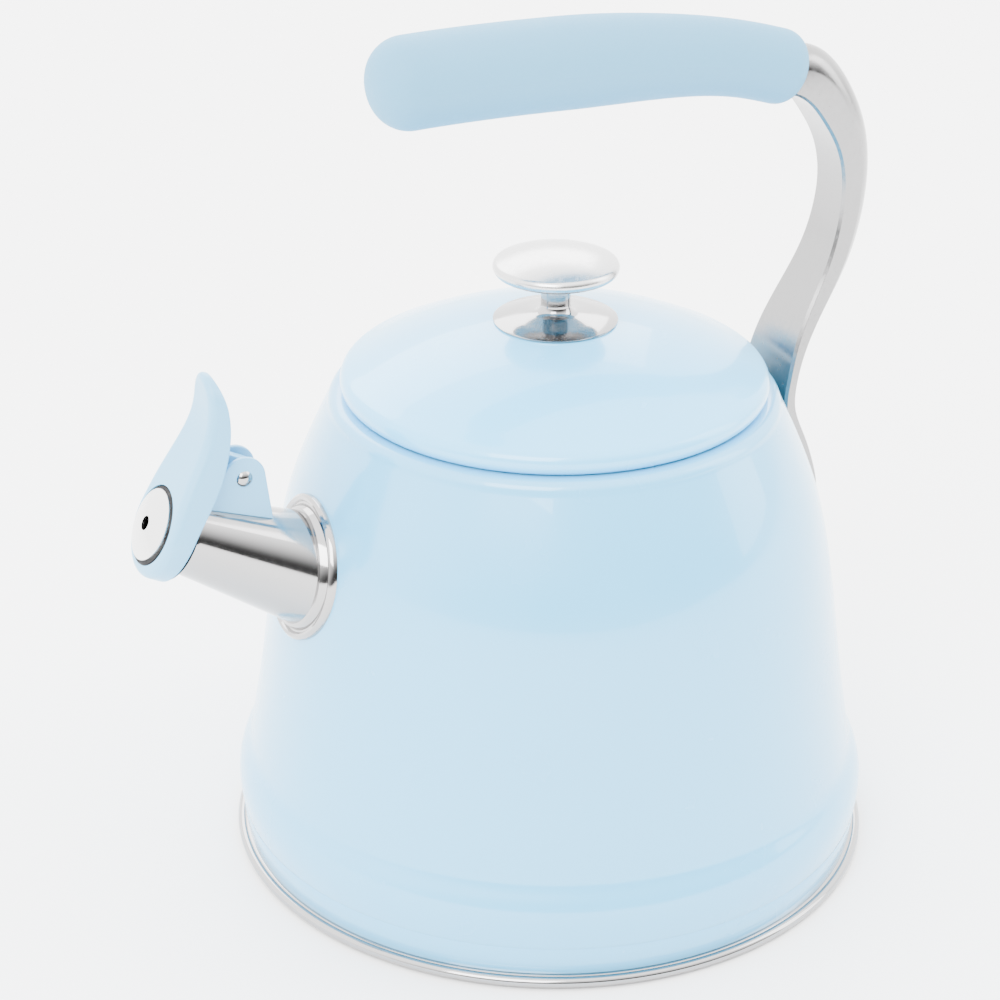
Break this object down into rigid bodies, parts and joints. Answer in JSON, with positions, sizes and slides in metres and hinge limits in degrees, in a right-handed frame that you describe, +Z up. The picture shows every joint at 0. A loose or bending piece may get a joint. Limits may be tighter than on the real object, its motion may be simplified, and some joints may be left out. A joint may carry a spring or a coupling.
{
  "type": "stovetop whistling kettle",
  "caption": "Stovetop kettle with a tapering painted body, short spout under a sprung whistle lever, lift-off lid with a mushroom knob and a raised bar handle on a steel strap.",
  "frame": {"origin": "centre of the base on the surface that the kettle stands on", "axes": "+Z up, -X towards the spout, +X towards the handle's strap; the XZ plane is the plane of symmetry"},
  "size_m": [0.23, 0.193, 0.2551],
  "materials": {
    "body_paint": "gloss pale blue enamel paint",
    "lid_paint": "gloss pale blue enamel paint",
    "pale_plastic": "satin pale blue plastic",
    "grip_silicone": "matt pale blue silicone",
    "polished_steel": "mirror polished stainless steel",
    "plain_steel": "brushed stainless steel",
    "spreader_metal": "matt aluminium",
    "black_plastic": "matt black plastic",
    "seal_silicone": "matt black silicone",
    "core_plastic": "matt glass-filled nylon"
  },
  "bodies": {
    "root": {"base_pan": "polished_steel", "base_cap": "plain_steel", "heat_spreader": "spreader_metal", "body_shell": "body_paint", "handle_backing": "plain_steel", "handle_screws": "plain_steel", "spout_tube": "polished_steel", "spout_collar": "polished_steel", "hinge_bracket": "pale_plastic", "hinge_pin": "polished_steel", "bracket_screws": "plain_steel", "handle_strap": "polished_steel", "grip_core": "core_plastic", "grip_sleeve": "grip_silicone", "grip_pin": "plain_steel"},
    "lid": {"lid_shell": "lid_paint", "lid_skirt": "plain_steel", "lid_gasket": "seal_silicone", "knob_stem": "polished_steel", "knob_cap": "polished_steel", "knob_screw": "plain_steel", "knob_washer": "plain_steel"},
    "whistle": {"whistle_lever": "pale_plastic", "mouth_seal": "seal_silicone", "whistle_ring": "black_plastic", "whistle_face": "plain_steel", "whistle_rear": "plain_steel", "whistle_spring": "plain_steel"}
  },
  "joints": [
    {"name": "lid_lift", "type": "slide", "parent": "root", "child": "lid", "axis": [0, 0, 1], "range_m": [0, 0.03]},
    {"name": "whistle_flip", "type": "hinge", "parent": "root", "child": "whistle", "pos_m": [-0.09777, 0, 0.13569], "axis": [0, 1, 0], "range_deg": [0, 40], "stiffness_Nm_per_rad": 0.06, "springref_deg": -34.38, "deforming": ["whistle_spring"]}
  ]
}
